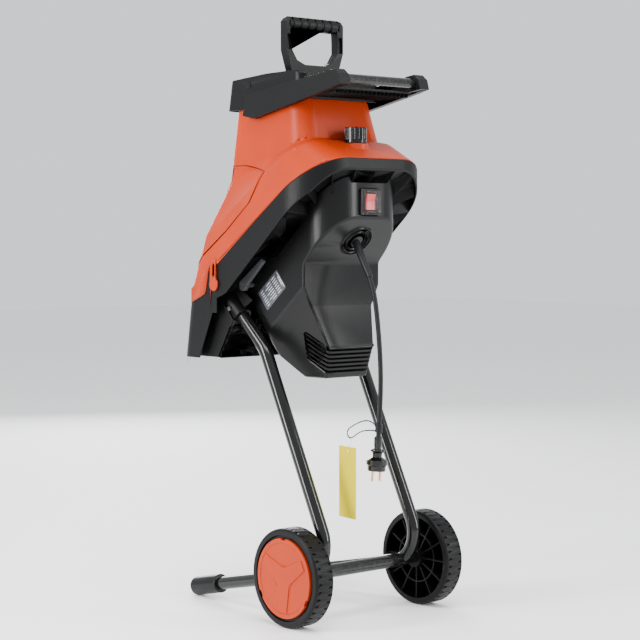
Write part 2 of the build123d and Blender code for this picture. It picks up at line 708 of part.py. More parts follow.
plug_pins = []
for x in (-9.5, 9.5):
    base = Plane(origin=plug_top + plug_aim * 57, x_dir=(1, 0, 0), z_dir=plug_aim) * Pos(x, 0)
    plug_pins.append(extrude(base * Circle(2.4), amount=19))
keep("plug", plug())
keep("plug_pins", Compound(plug_pins))

# ---- cord strap with its hang tag ----
view_x, view_y = 0.752, -0.659             # the strap's loop lies across this heading
strap_at = plug_top - plug_aim * 22         # middle of the strap's band


def along_strap(right, up):
    return strap_at + Vector(view_x * right, view_y * right, up)


strap_loop = ((-6.0, 5), (-22, 14), (-42, 8), (-58, -10), (-54, -17), (-38, -9), (-20, -4), (-6.0, -5))
strap_line = Spline(*[along_strap(*p) for p in strap_loop])
strap_plane = Plane(origin=strap_line @ 0, x_dir=Vector(view_y, -view_x, 0), z_dir=strap_line % 0)
strap = sweep(strap_plane * Rectangle(7, 1.8), path=strap_line)
band_length = 15.0
band = Plane(origin=strap_at, z_dir=plug_aim) * (Circle(cord_diameter / 2 + 2.3) - Circle(cord_diameter / 2 + 0.3))
band = extrude(band, amount=band_length / 2, both=True)
keep("cord_strap", strap + band)

tag_along = Vector(math.sin(math.radians(7.5)), math.cos(math.radians(7.5)), 0)
tag_width, tag_height, tag_thickness = 54.0, 132.0, 0.8
tag_hole = along_strap(-57.5, -42)
tag_plane = Plane(origin=tag_hole, x_dir=tag_along, z_dir=tag_along.cross(Vector(0, 0, 1)))
tag = Pos(0, -tag_height / 2 + 8) * Rectangle(tag_width, tag_height)
tag = fillet(tag.vertices(), 2.0) - Circle(2.5)
keep("hang_tag", extrude(tag_plane * tag, amount=tag_thickness / 2, both=True))
string_top = along_strap(-57.0, -15.6)
string_route = [string_top, string_top + Vector(6, -2, -12), tag_hole + Vector(3, -1, 8), tag_hole + Vector(0, 0, 0.8)]
string_line = Spline(*string_route)
string = sweep(Plane(origin=string_line @ 0, z_dir=string_line % 0) * Circle(0.6), path=string_line)
keep("tag_string", string)

# =====================================================================================
# Motor and belt drive
# =====================================================================================
bracket_top = -motor_top
coil_rise, coil_drop = 8.0, 6.0       # field coils above and below the stack
stator_top = bracket_top - 22.0 - coil_rise
stator_low = stator_top - stator_length
tail_top = stator_low - 30.0
shaft_low = tail_top - motor_bearing_width - 1.0
belt_top = -51.0


def motor_bracket():
    body = disc(bracket_diameter, bracket_top, bracket_thickness, pulley_centres)
    for x in (-1, 1):
        arm = extrude(on_cut(bracket_top - bracket_thickness, pulley_centres, x * 48) * Rectangle(16, 30),
                      amount=bracket_thickness)
        post = extrude(on_cut(bracket_top, pulley_centres, x * 50) * Circle(5), amount=deck_low - bracket_top)
        body += arm + post
    body += ring(motor_bearing_diameter + 8, motor_bearing_diameter, bracket_top - bracket_thickness,
                 motor_bearing_width, pulley_centres)
    for x in (-1, 1):
        wall = extrude(on_cut(stator_low - 4, pulley_centres, x * (stator_diameter / 2 + 2)) * Rectangle(4, 34),
                       amount=bracket_top - bracket_thickness - stator_low + 4)
        body += wall
    return body - disc(shaft_diameter + 2, bracket_top + 1, 30, pulley_centres) - disc(
        stator_diameter, stator_top, stator_length, pulley_centres)


def stator():
    core = ring(stator_diameter, armature_diameter + 2 * air_gap, stator_top, stator_length, pulley_centres)
    flats = extrude(on_cut(stator_low, pulley_centres) * Rectangle(stator_diameter + 4, stator_diameter - 12),
                    amount=stator_length)
    core = core & flats
    coil = ring(stator_diameter - 14, armature_diameter + 4, stator_top + coil_rise, coil_rise, pulley_centres)
    coil += ring(stator_diameter - 14, armature_diameter + 4, stator_low, coil_drop, pulley_centres)
    sides = Box(BIG, BIG, BIG) - extrude(on_cut(stator_low - 30, pulley_centres) * Rectangle(20, 120), amount=200)
    return core, coil & sides


stator_core, field_coils = stator()
keep("motor_bracket", motor_bracket())
keep("stator_core", stator_core)
keep("field_coils", field_coils)

shaft_top = belt_top + 2.0
armature = disc(armature_diameter, stator_top, stator_length, pulley_centres)
for k in range(12):
    slot = on_cut(stator_low - 1, pulley_centres) * Rot(0, 0, 30 * k) * Pos(armature_diameter / 2, 0)
    armature -= extrude(slot * Rectangle(12, 2.4), amount=stator_length + 2)
shaft_bore = disc(shaft_diameter, shaft_top + 40, 400, pulley_centres)
keep("armature_core", armature - shaft_bore)
keep("motor_shaft", disc(shaft_diameter, shaft_top, shaft_top - shaft_low, pulley_centres))
commutator_top = stator_low - coil_drop - 2.0
keep("commutator", ring(commutator_diameter, shaft_diameter, commutator_top, commutator_length, pulley_centres))
fan_top = bracket_top - bracket_thickness - motor_bearing_width - 1.0


def fan():
    body = ring(44, shaft_diameter, fan_top, 5.5, pulley_centres)
    for k in range(fan_blades):
        blade = on_cut(fan_top - 5.5, pulley_centres) * Rot(0, 0, 360 * k / fan_blades) * Pos(20, 0)
        body += extrude(blade * Rectangle(12, 2), amount=5.5)
    return body


keep("motor_fan", fan())
for name, top in (("upper_motor_bearing", bracket_top - bracket_thickness), ("lower_motor_bearing", tail_top - 1)):
    keep(name, ring(motor_bearing_diameter, shaft_diameter + 2 * running_gap, top, motor_bearing_width, pulley_centres))


def tail_bracket():
    """Holds the lower bearing and the brush boxes; hangs from the stator on two posts."""
    body = ring(motor_bearing_diameter + 8, shaft_diameter + 3, tail_top, motor_bearing_width + 1, pulley_centres)
    body += extrude(on_cut(tail_top - 5, pulley_centres) * Rectangle(stator_diameter - 4, 16), amount=4)
    for x in (-1, 1):
        post = extrude(on_cut(tail_top - 5, pulley_centres, x * (stator_diameter / 2 - 3)) * Rectangle(6, 16),
                       amount=stator_low - tail_top + 5)
        body += post
    for x in (-1, 1):
        holder = extrude(on_cut(commutator_top - 14, pulley_centres, x * (commutator_diameter / 2 + 12)) * Rectangle(
            20, 12), amount=10)
        body += holder
    body -= ring(motor_bearing_diameter, 1, tail_top - 1, motor_bearing_width, pulley_centres)
    body -= disc(motor_bearing_diameter, tail_top - 1, motor_bearing_width, pulley_centres)
    body -= disc(shaft_diameter + 3, tail_top + 30, 80, pulley_centres)
    body -= disc(commutator_diameter + 2, stator_low, stator_low - tail_top - 0.5, pulley_centres)
    return body - brush_bar(0)


def brush_bar(shrink):
    bars = []
    for x in (-1, 1):
        inner = commutator_diameter / 2 + (0.2 if shrink else 0)
        outer = commutator_diameter / 2 + 16
        centre = x * (inner + outer) / 2
        bars.append(extrude(on_cut(commutator_top - 12, pulley_centres, centre) * Rectangle(outer - inner, 8), amount=6))
    return Compound(bars)


keep("tail_bracket", tail_bracket())
keep("carbon_brushes", brush_bar(1) - disc(commutator_diameter + 0.4, commutator_top, commutator_length, pulley_centres))

# ---- spindle, its bearings and the toothed belt drive ----
spindle_top = 24.0
spindle_low = belt_top - belt_width - 6.0
upper_bearing_top, lower_bearing_top = deck_low - 2.0, deck_low - 15.0
carrier_low = lower_bearing_top - spindle_bearing_width - 1.0


def bearing_carrier():
    body = disc(carrier_diameter, deck_top, deck_top - carrier_low)
    body += disc(carrier_flange, deck_low, 4)
    body -= disc(spindle_diameter + 4, 60, 200)
    for top in (upper_bearing_top, lower_bearing_top):
        body -= disc(spindle_bearing_diameter, top, spindle_bearing_width)
    return body


keep("bearing_carrier", bearing_carrier())
keep("spindle", disc(spindle_diameter, spindle_top, spindle_top - spindle_low))
for name, top in (("upper_spindle_bearing", upper_bearing_top), ("lower_spindle_bearing", lower_bearing_top)):
    keep(name, ring(spindle_bearing_diameter, spindle_diameter + 2 * running_gap, top, spindle_bearing_width))


def pulley(diameter, bore, teeth, ahead=0.0):
    body = ring(diameter, bore, belt_top, belt_width, ahead)
    for k in range(teeth):
        groove = on_cut(belt_top - belt_width - 1, ahead) * Rot(0, 0, 360 * k / teeth) * Pos(diameter / 2, 0)
        body -= extrude(groove * Circle(diameter / teeth * 0.55), amount=belt_width + 2)
    body += ring(diameter + 7, bore, belt_top - belt_width, 1.5, ahead)
    return body


teeth_small, teeth_large = 12, 60
large = pulley(large_pulley_diameter, spindle_diameter, teeth_large)
for k in range(5):
    pocket = on_cut(belt_top - belt_width - 5) * Rot(0, 0, 72 * k) * Pos(large_pulley_diameter * 0.3, 0)
    large -= extrude(pocket * Circle(11), amount=30)
keep("large_pulley", large)
keep("small_pulley", pulley(small_pulley_diameter, shaft_diameter, teeth_small, pulley_centres))


def belt_loop(offset_out):
    """Outline of a loop around both pulleys, a given distance outside them."""
    big, small = large_pulley_diameter / 2 + offset_out, small_pulley_diameter / 2 + offset_out
    lean = math.asin((big - small) / pulley_centres)
    out_x, out_y = math.cos(lean), math.sin(lean)
    sides = Polygon((big * out_x, big * out_y), (small * out_x, pulley_centres + small * out_y),
                    (-small * out_x, pulley_centres + small * out_y), (-big * out_x, big * out_y), align=None)
    return sides + Circle(big) + Pos(0, pulley_centres) * Circle(small)


belt_face = belt_loop(belt_gap + belt_thickness) - belt_loop(belt_gap)
keep("drive_belt", extrude(on_cut(belt_top - belt_width + 0.5) * belt_face, amount=belt_width - 1.0))

# ---- cutter disc and blades ----
disc_low = -disc_thickness / 2


def cutter_disc():
    body = disc(disc_diameter, disc_thickness / 2, disc_thickness) + disc(44, disc_low, 5)
    body -= disc(spindle_diameter, 60, 200)
    for k in range(blade_count):
        slot = cut * Rot(0, 0, 180 * k) * Pos(56, 17)
        body -= extrude(slot * Rectangle(blade_length - 4, 12), amount=40, both=True)
        for reach in (38, 70):
            hole = cut * Rot(0, 0, 180 * k) * Pos(reach, -4)
            body -= extrude(hole * Circle(3), amount=40, both=True)
    return body


def blade(k):
    frame = Plane(origin=disc_centre + axis_up * (disc_thickness / 2), x_dir=(1, 0, 0), z_dir=axis_up)
    spot = frame * Rot(0, 0, 180 * k) * Pos(54, 0)
    plate = extrude(spot * Rectangle(blade_length, blade_width - 10), amount=blade_thickness)
    plate = chamfer(plate.edges().filter_by(lambda e: abs(e.length - blade_length) < 0.1), 2.2)
    for reach in (38, 70):
        hole = frame * Rot(0, 0, 180 * k) * Pos(reach, -4)
        plate -= extrude(hole * Circle(3), amount=20)
    return plate


def blade_screws():
    group = []
    for k in range(blade_count):
        for reach in (38, 70):
            spot = cut.offset(disc_low) * Rot(0, 0, 180 * k) * Pos(reach, -4)
            shank = extrude(spot * Circle(3), amount=disc_thickness + blade_thickness)
            head = extrude(cut.offset(disc_thickness / 2 + blade_thickness) * Rot(0, 0, 180 * k) * Pos(reach, -4)
                           * Circle(5), amount=2.5)
            group.append(shank + head)
    return Compound(group)


keep("cutter_disc", cutter_disc())
keep("cutter_blades", Compound([blade(k) for k in range(blade_count)]))
keep("blade_screws", blade_screws())
nut = extrude(on_cut(disc_thickness / 2) * RegularPolygon(11, 6), amount=10) - disc(spindle_diameter, 60, 200)
keep("spindle_nut", nut)

# =====================================================================================
# Upper housing: flared cover with the feed neck
# =====================================================================================
shoulder_rear, shoulder_front = (20.0, 880.0), (312.0, 692.0)
body_rear = (rim_rear_y, parting_z(rim_rear_y) + parting_gap)
body_front = (rim_front_y, parting_z(rim_front_y) + parting_gap)
foot_rear, foot_front = (foot_rear_y, 884.0), (foot_front_y, 802.0)
neck_rear, neck_front = (neck_rear_y, neck_top_z), (neck_front_y, neck_top_z)


def upper_sections(inset):
    base_plane = frame_plane(body_rear, body_front)
    tall = extrude(Plane.XY.offset(440) * plan(inset), amount=600)
    sheet = extrude(base_plane * Rectangle(2000, 2000), amount=1.0)
    flat = (tall & sheet).faces().filter_by(lambda f: abs(f.normal_at().dot(base_plane.z_dir)) > 0.999)
    return [
        flat.sort_by(lambda f: (f.center() - base_plane.origin).dot(base_plane.z_dir))[0],
        section_on(shoulder_rear, shoulder_front, 136, 62, 34, inset).face(),
        section_on(foot_rear, foot_front, foot_half_width, 40, 30, inset).face(),
        section_on(neck_rear, neck_front, neck_half_width, 35, 28, inset).face(),
    ]


def upper_form(inset):
    sections = upper_sections(inset)
    solid = None
    for low, high in zip(sections, sections[1:]):
        part = loft([low, high], ruled=True)
        solid = part if solid is None else solid + part
    return solid


duct_top_z = neck_top_z - 4
duct_low = 22.0                # lower end, above the disc's middle


def feed_duct_box(grow):
    return across([(feed_rear_y - grow, 640), (feed_rear_y - grow, duct_top_z), (feed_front_y + grow, duct_top_z),
                   (feed_front_y + grow, 640)], feed_half_width + grow)


latch_y, latch_z = 238.0, 614.0
latch_thickness = 4.0
latch_gap = 0.6                # between a tongue and the skirt


def latch():
    """A slotted springy tongue with a round thumb pad, outside the skirt on the left."""
    outer_x = rim_half_width + latch_gap + latch_thickness
    lay = Plane(origin=(-outer_x + latch_thickness / 2, 0, 0), x_dir=(0, 1, 0), z_dir=(1, 0, 0))
    face = Pos(latch_y, latch_z) * (Circle(13) + Polygon((12, 0), (9, 48), (-7, 48), (-7, 0), align=None))
    face -= Pos(latch_y, latch_z) * Polygon((3.5, 15), (2.5, 38), (-2, 38), (-1.5, 15), align=None)
    tongue = extrude(lay * face, amount=latch_thickness / 2, both=True)
    root_width = outer_x - rim_half_width + shell_wall + 2
    root = Pos(-outer_x + root_width / 2, latch_y + 1, latch_z + 43) * Box(root_width, 16, 10)
    return tongue + (root & above_parting(parting_gap + 0.4))


def at_knob(diameter, low, high):
    """A round post about the knob's axis."""
    return extrude(Plane(origin=(0, knob_y, low)) * Circle(diameter / 2), amount=high - low)


panel_depth = 1.6
panel_inner_x = 100.0          # the recessed panels stay outside this
panel_outline = [(120, 824), (205, 838), (420, 838), (420, 570), (352, 600), (290, 668), (216, 716), (150, 768)]


def upper_housing():
    outer, hollow, trimmed = upper_form(0), upper_form(shell_wall), upper_form(1.0)
    duct = feed_duct_box(3) - feed_duct_box(0) - below_cut(duct_low)
    duct &= trimmed + across([(90, 900), (90, 960), (180, 960), (180, 900)], 80)
    web = across([(feed_front_y + 3, 862), (feed_front_y + 3, 872), (300, 872), (300, 862)], 80) & trimmed
    web += across([(feed_rear_y - 3, 862), (feed_rear_y - 3, 872), (0, 872), (0, 862)], 80) & trimmed
    shell = (outer - hollow) + duct + web
    flanks = Box(BIG, BIG, 2 * BIG) - Box(2 * panel_inner_x, BIG, 2 * BIG)
    shell -= (outer - upper_form(panel_depth)) & across(panel_outline, 400) & flanks
    seat_z = knob_z - 0.5
    pocket = at_knob(knob_diameter + 2, seat_z, seat_z + 60)
    shell -= pocket
    shell += (at_knob(knob_diameter + 6, seat_z - 4, seat_z + 60) & outer) - pocket
    shell += at_knob(knob_diameter + 6, seat_z - 36, seat_z) - hollow
    shell += at_knob(18, seat_z - 64, seat_z - 1) & trimmed
    shell -= at_knob(knob_screw_diameter + 2 * running_gap, 700, 900)
    left_latch = latch()
    return shell + hinge_lugs(lower=False) + left_latch + mirror(left_latch, about=Plane.YZ)


keep("upper_housing", upper_housing())
knob_screw_tip = parting_z(knob_y) - 4.0
knob = extrude(Plane(origin=(0, knob_y, knob_z)) * Circle(knob_diameter / 2), amount=knob_height)
for k in range(10):
    flute = Plane(origin=(0, knob_y, knob_z + 6)) * Rot(0, 0, 36 * k) * Pos(knob_diameter / 2 + 1.5, 0)
    knob -= extrude(flute * Circle(4), amount=knob_height)
knob = fillet(knob.edges().group_by(Axis.Z)[-1], 1.5)
keep("locking_knob", knob)
knob_screw = extrude(Plane(origin=(0, knob_y, knob_screw_tip)) * Circle(knob_screw_diameter / 2),
                     amount=knob_z - knob_screw_tip)
keep("knob_screw", knob_screw)

# =====================================================================================
# Hopper collar with handle arms, bar and pusher
# =====================================================================================
def collar_plan(inset, front):
    outline = Pos(0, (collar_rear_y + front) / 2) * Rectangle(
        2 * (collar_half_width - inset), front - collar_rear_y - 2 * inset)
    return fillet(outline.vertices(), 18 - inset)


def collar_form(inset, low_z, top_z):
    lean = 12.0
    low = Plane.XY.offset(low_z) * collar_plan(inset, collar_front_y + lean)
    top = Plane.XY.offset(top_z) * collar_plan(inset, collar_front_y)
    return loft([low.face(), top.face()], ruled=True)


arm_outline = [(197, 971), (209, 932), (178, 926), (-45, 970), (-63, 975), (-63, 990), (-57, 1001), (-46, 1003)]


def hopper_collar():
    ring_ = collar_form(0, collar_bottom_z, collar_top_z) - collar_form(3, collar_bottom_z, collar_top_z)
    crown = across([(40, 958), (40, 1003), (84, 1010), (150, 1009), (262, 1001), (290, 1000), (290, 930),
                    (170, 930), (120, 958)], 120)
    ring_ &= crown
    ledge = collar_form(1, collar_bottom_z, collar_top_z) & across(
        [(40, neck_top_z), (40, neck_top_z + 3), (290, neck_top_z + 3), (290, neck_top_z)], 120)
    ledge -= across([(feed_rear_y, 900), (feed_rear_y, 1100), (feed_front_y, 1100), (feed_front_y, 900)],
                    feed_half_width)
    funnel = None
    for y0, y1 in ((feed_rear_y, collar_rear_y + 6), (feed_front_y, collar_front_y - 4)):
        step = 3 if y1 > y0 else -3
        plate = across([(y0, neck_top_z + 2), (y1, neck_top_z + 16), (y1, neck_top_z + 19), (y0, neck_top_z + 5)],
                       collar_half_width - 4)
        funnel = plate if funnel is None else funnel + plate
    body = ring_ + ledge + (funnel & collar_form(1, collar_bottom_z, collar_top_z + 10))
    arm = across(arm_outline, arm_thickness / 2)
    hollow = across([(190, 966), (200, 938), (178, 931), (-40, 975), (-40, 997)], arm_thickness / 2)
    for x in (-1, 1):
        centre = x * (arm_half_width - arm_thickness / 2)
        body += (Pos(centre, 0, 0) * arm) - Pos(centre - x * 3, 0, 0) * hollow
        block = across([(-71, 976), (-66, 994), (-54, 1004), (-30, 1001), (-30, 971)], 12)
        body += Pos(x * (arm_half_width - 12), 0, 0) * block
    apron = across([(collar_rear_y + 3, 966), (collar_rear_y + 3, 970), (-36, 974), (-36, 970)], arm_half_width - 4)
    body += apron
    for k in range(comb_ribs):
        rib = across([(collar_rear_y + 2, 962), (collar_rear_y + 2, 967), (-34, 971), (-34, 963)], 0.9)
        body += Pos((k - comb_ribs // 2) * comb_pitch, 0, 0) * rib
    for x in (-1, 1):
        tie = across([(120, 946), (120, 960), (180, 960), (180, 946)], (arm_half_width - collar_half_width) / 2 + 1)
        body += Pos(x * (arm_half_width + collar_half_width) / 2 - x * 3, 0, 0) * tie
        catch = across([(196, 986), (196, 996), (208, 995), (208, 985)], 1.5)
        body += Pos(x * (collar_half_width + 1), 0, 0) * catch
    body -= upper_form(-0.3) & across([(0, 900), (0, neck_top_z - 0.2), (300, neck_top_z - 0.2), (300, 900)], 130)
    body -= across_rod(bar_diameter, bar_y, bar_z, -bar_half, bar_half)
    return body


bar_half = arm_half_width - 12.0
keep("hopper_collar", hopper_collar())
bar = across_rod(bar_diameter, bar_y, bar_z, -bar_half, bar_half)
keep("handle_bar", bar - across_rod(bar_diameter - 4, bar_y, bar_z, -bar_half - 1, bar_half + 1))


def pusher():
    """A D-shaped grip on a hollow plunger that slides down the feed duct."""
    plane = Plane(origin=(0, pusher_y, 0), x_dir=(1, 0, 0), z_dir=(0, -1, 0))
    half, strut = grip_half_width, 11.0
    shoulder_z, root_z = 1053.0, 1010.0
    outer = Polygon((-half + 6, grip_top_z - 3), (half - 6, grip_top_z - 3), (half, grip_top_z - 10), (half, shoulder_z),
                    (half - 14, root_z), (-half + 14, root_z), (-half, shoulder_z), (-half, grip_top_z - 10), align=None)
    gap = half - strut - 4
    inner = Polygon((-gap, grip_top_z - 14), (gap, grip_top_z - 14), (gap, 1054), (gap - 12, 1036), (24, 1028),
                    (-24, 1028), (-gap + 12, 1036), (-gap, 1054), align=None)
    frame = extrude(plane * (outer - inner), amount=grip_frame_half, both=True)
    pocket_face = Polygon((-half + 3, grip_top_z - 34), (-half + strut + 1, grip_top_z - 34),
                          (-half + strut + 1, shoulder_z + 2), (-half + 3, shoulder_z + 2), align=None)
    pocket = extrude(plane * pocket_face, amount=40, both=True) - extrude(plane * pocket_face, amount=4, both=True)
    frame -= pocket
    frame -= mirror(pocket, about=Plane.YZ)
    grip_z = grip_top_z - grip_diameter / 2
    grip = across_rod(grip_diameter, pusher_y, grip_z, -half + strut - 2, half - strut + 2)
    span = 2 * (half - strut) - 8
    for k in range(grip_ribs + 1):
        x = -span / 2 + span * k / grip_ribs
        groove = across_rod(grip_diameter + 4, pusher_y, grip_z, x - 2.2, x + 2.2)
        grip -= groove - across_rod(grip_diameter - 4, pusher_y, grip_z, x - 3, x + 3)
    body = frame + grip
    neck = across([(feed_rear_y + pusher_gap, pusher_bottom_z), (feed_rear_y + pusher_gap, root_z + 4),
                   (feed_front_y - pusher_gap, root_z + 4), (feed_front_y - pusher_gap, pusher_bottom_z)],
                  feed_half_width - pusher_gap)
    inside = across([(feed_rear_y + pusher_gap + 3, pusher_bottom_z + 3), (feed_rear_y + pusher_gap + 3, root_z + 1),
                     (feed_front_y - pusher_gap - 3, root_z + 1), (feed_front_y - pusher_gap - 3, pusher_bottom_z + 3)],
                    feed_half_width - pusher_gap - 3)
    return body + (neck - inside)


keep("pusher", pusher())

# =====================================================================================
# Small outer pieces
# =====================================================================================
hook_pad = (196.5, 612.8)
hook_stem, hook_thickness = 18.0, 7.0
label_plane = Plane(origin=(-housing_half_width - 0.05, 139, 604), x_dir=(0, math.cos(tilt), -math.sin(tilt)),
                    z_dir=(-1, 0, 0))
label = fillet(Rectangle(71, 42).vertices(), 2)
keep("rating_label", extrude(label_plane * label, amount=0.5))


def cord_hook():
    """A flat finger hook on a short stem that stands off the motor housing's side."""
    lay = Plane(origin=(-housing_half_width - hook_stem - hook_thickness / 2, 0, 0), x_dir=(0, 1, 0), z_dir=(1, 0, 0))
    finger = Polygon((204, 621), (142, 662), (138, 655), (196, 603), align=None)
    face = Pos(*hook_pad) * Circle(11) + finger + Pos(140.5, 658.3) * Circle(4.6)
    hook = extrude(lay * face, amount=hook_thickness / 2, both=True)
    return hook + across_rod(10, *hook_pad, -housing_half_width - hook_stem, -housing_half_width)


keep("cord_hook", cord_hook())

os.makedirs("parts", exist_ok=True)
for name, shape in pieces.items():
    export_step(shape, f"parts/{name}.step")
print(len(pieces), "nodes")
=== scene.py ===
import bpy
import bmesh
import json
import math
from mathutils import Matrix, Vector


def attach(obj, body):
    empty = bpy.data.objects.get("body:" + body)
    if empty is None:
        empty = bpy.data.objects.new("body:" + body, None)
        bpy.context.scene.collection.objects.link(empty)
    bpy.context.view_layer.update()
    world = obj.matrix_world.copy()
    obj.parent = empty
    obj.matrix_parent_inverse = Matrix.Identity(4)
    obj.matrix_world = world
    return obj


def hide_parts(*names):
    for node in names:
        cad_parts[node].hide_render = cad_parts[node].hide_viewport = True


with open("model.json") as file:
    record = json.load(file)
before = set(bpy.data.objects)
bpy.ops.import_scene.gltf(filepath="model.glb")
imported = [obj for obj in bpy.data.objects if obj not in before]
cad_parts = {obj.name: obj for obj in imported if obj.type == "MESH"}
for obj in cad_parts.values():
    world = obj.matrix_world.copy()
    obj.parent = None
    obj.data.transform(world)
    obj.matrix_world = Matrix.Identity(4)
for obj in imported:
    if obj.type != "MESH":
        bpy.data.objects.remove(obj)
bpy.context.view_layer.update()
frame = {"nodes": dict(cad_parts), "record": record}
scene = bpy.context.scene
nodes = frame["nodes"]
record = frame["record"]
body_of_node = {n: b for b, names in record["behaviour"]["bodies"].items() for n in names}
slot_of_node = {s["node"]: s["material_slot"] for s in record["subparts"]}

# ---- camera ----
camera_data = bpy.data.cameras.new("camera")
camera_data.lens = 100.82
camera_data.sensor_width = 36.0
camera_data.clip_end = 50.0
camera = bpy.data.objects.new("camera", camera_data)
camera.location = (-2.24108, -2.57963, 0.70709)
camera.rotation_euler = (math.radians(87.29), 0.0, math.radians(-41.188))
scene.collection.objects.link(camera)
scene.camera = camera


# =====================================================================================
# Shared shader effects
# =====================================================================================
def new_group(name, inputs, outputs):
    """An empty shader group with named inputs and outputs."""
    group = bpy.data.node_groups.new(name, "ShaderNodeTree")
    for label, kind, default in inputs:
        socket = group.interface.new_socket(name=label, in_out="INPUT", socket_type=kind)
        if default is not None:
            socket.default_value = default
    for label, kind in outputs:
        group.interface.new_socket(name=label, in_out="OUTPUT", socket_type=kind)
    return group, group.nodes.new("NodeGroupInput"), group.nodes.new("NodeGroupOutput")


def noise_in(tree, scale, detail=4.0, roughness=0.55):
    node = tree.nodes.new("ShaderNodeTexNoise")
    node.inputs["Scale"].default_value = scale
    node.inputs["Detail"].default_value = detail
    node.inputs["Roughness"].default_value = roughness
    return node


def spread(tree, value, low, high, to_low=0.0, to_high=1.0):
    """Remaps a value, clamped."""
    node = tree.nodes.new("ShaderNodeMapRange")
    tree.links.new(value, node.inputs["Value"])
    for label, number in (("From Min", low), ("From Max", high), ("To Min", to_low), ("To Max", to_high)):
        node.inputs[label].default_value = number
    return node.outputs["Result"]


def make_moulded_grain():
    """Fine even pitting of a moulded surface, as a height."""
    group, inside, outside = new_group(
        "moulded_grain", [("Scale", "NodeSocketFloat", 900.0)], [("Height", "NodeSocketFloat")])
    place = group.nodes.new("ShaderNodeTexCoord")
    pits = group.nodes.new("ShaderNodeTexVoronoi")
    pits.feature = "SMOOTH_F1"
    fine = noise_in(group, 400.0)
    join = group.nodes.new("ShaderNodeMath")
    join.operation = "MULTIPLY_ADD"
    join.inputs[1].default_value = 0.6
    for node in (pits, fine):
        group.links.new(place.outputs["Object"], node.inputs["Vector"])
        group.links.new(inside.outputs["Scale"], node.inputs["Scale"])
    group.links.new(pits.outputs["Distance"], join.inputs[0])
    group.links.new(fine.outputs["Fac"], join.inputs[2])
    group.links.new(join.outputs[0], outside.inputs["Height"])
    return group


def make_patches():
    """Slow uneven patches, as a mask: handling marks, flow of the moulding, drying of paint."""
    group, inside, outside = new_group(
        "patches", [("Scale", "NodeSocketFloat", 9.0)], [("Mask", "NodeSocketFloat")])
    place = group.nodes.new("ShaderNodeTexCoord")
    slow = noise_in(group, 9.0, 5.0, 0.6)
    group.links.new(place.outputs["Object"], slow.inputs["Vector"])
    group.links.new(inside.outputs["Scale"], slow.inputs["Scale"])
    group.links.new(spread(group, slow.outputs["Fac"], 0.35, 0.68), outside.inputs["Mask"])
    return group


def make_worn_edges():
    """Where edges stand out and get rubbed, as a mask broken up by noise."""
    group, inside, outside = new_group(
        "worn_edges", [("Amount", "NodeSocketFloat", 0.5)], [("Mask", "NodeSocketFloat")])
    shape = group.nodes.new("ShaderNodeNewGeometry")
    place = group.nodes.new("ShaderNodeTexCoord")
    break_up = noise_in(group, 160.0, 6.0, 0.7)
    group.links.new(place.outputs["Object"], break_up.inputs["Vector"])
    edge = spread(group, shape.outputs["Pointiness"], 0.53, 0.62)
    rub = spread(group, break_up.outputs["Fac"], 0.42, 0.62)
    both = group.nodes.new("ShaderNodeMath")
    both.operation = "MULTIPLY"
    group.links.new(edge, both.inputs[0])
    group.links.new(rub, both.inputs[1])
    scaled = group.nodes.new("ShaderNodeMath")
    scaled.operation = "MULTIPLY"
    group.links.new(both.outputs[0], scaled.inputs[0])
    group.links.new(inside.outputs["Amount"], scaled.inputs[1])
    group.links.new(scaled.outputs[0], outside.inputs["Mask"])
    return group


moulded_grain, patches, worn_edges = make_moulded_grain(), make_patches(), make_worn_edges()


def place_group(tree, group, **values):
    node = tree.nodes.new("ShaderNodeGroup")
    node.node_tree = group
    for label, number in values.items():
        node.inputs[label].default_value = number
    return node


COLOUR_A, COLOUR_B, COLOUR_OUT = 6, 7, 2      # the Mix node's colour sockets


def mixed_colour(tree, mask, first, second):
    """Mixes two colours by a mask. Either may be fixed numbers or another node's output."""
    node = tree.nodes.new("ShaderNodeMix")
    node.data_type = "RGBA"
    tree.links.new(mask, node.inputs["Factor"])
    for index, colour in ((COLOUR_A, first), (COLOUR_B, second)):
        if hasattr(colour, "is_output"):
            tree.links.new(colour, node.inputs[index])
        else:
            node.inputs[index].default_value = (*colour, 1.0)
    return node.outputs[COLOUR_OUT]


def new_finish(name, roughness=0.5, metallic=0.0, coat=0.0, coat_roughness=0.1, specular=0.5, sheen=0.0):
    """A material with a Principled shader whose even values are set on its own sockets."""
    material = bpy.data.materials.new(name)
    material.use_nodes = True
    tree = material.node_tree
    shader = tree.nodes["Principled BSDF"]
    shader.inputs["Roughness"].default_value = roughness
    shader.inputs["Metallic"].default_value = metallic
    shader.inputs["Coat Weight"].default_value = coat
    shader.inputs["Coat Roughness"].default_value = coat_roughness
    shader.inputs["Specular IOR Level"].default_value = specular
    shader.inputs["Sheen Weight"].default_value = sheen
    return material, tree, shader


def bump_from(tree, shader, height, distance, strength=1.0):
    node = tree.nodes.new("ShaderNodeBump")
    node.inputs["Distance"].default_value = distance
    node.inputs["Strength"].default_value = strength
    tree.links.new(height, node.inputs["Height"])
    tree.links.new(node.outputs["Normal"], shader.inputs["Normal"])
    return node


def moulded(name, light, dark, edge, rough, grain_scale, grain_depth, wear=0.35, **more):
    """Moulded plastic: two near colours in slow patches, lighter rubbed edges and a fine grain."""
    material, tree, shader = new_finish(name, **more)
    slow = place_group(tree, patches, Scale=7.0)
    rub = place_group(tree, worn_edges, Amount=wear)
    body_colour = mixed_colour(tree, slow.outputs["Mask"], light, dark)
    tree.links.new(mixed_colour(tree, rub.outputs["Mask"], body_colour, edge), shader.inputs["Base Color"])
    tree.links.new(spread(tree, slow.outputs["Mask"], 0.0, 1.0, *rough), shader.inputs["Roughness"])
    grain = place_group(tree, moulded_grain, Scale=grain_scale)
    bump_from(tree, shader, grain.outputs["Height"], grain_depth)
    return material


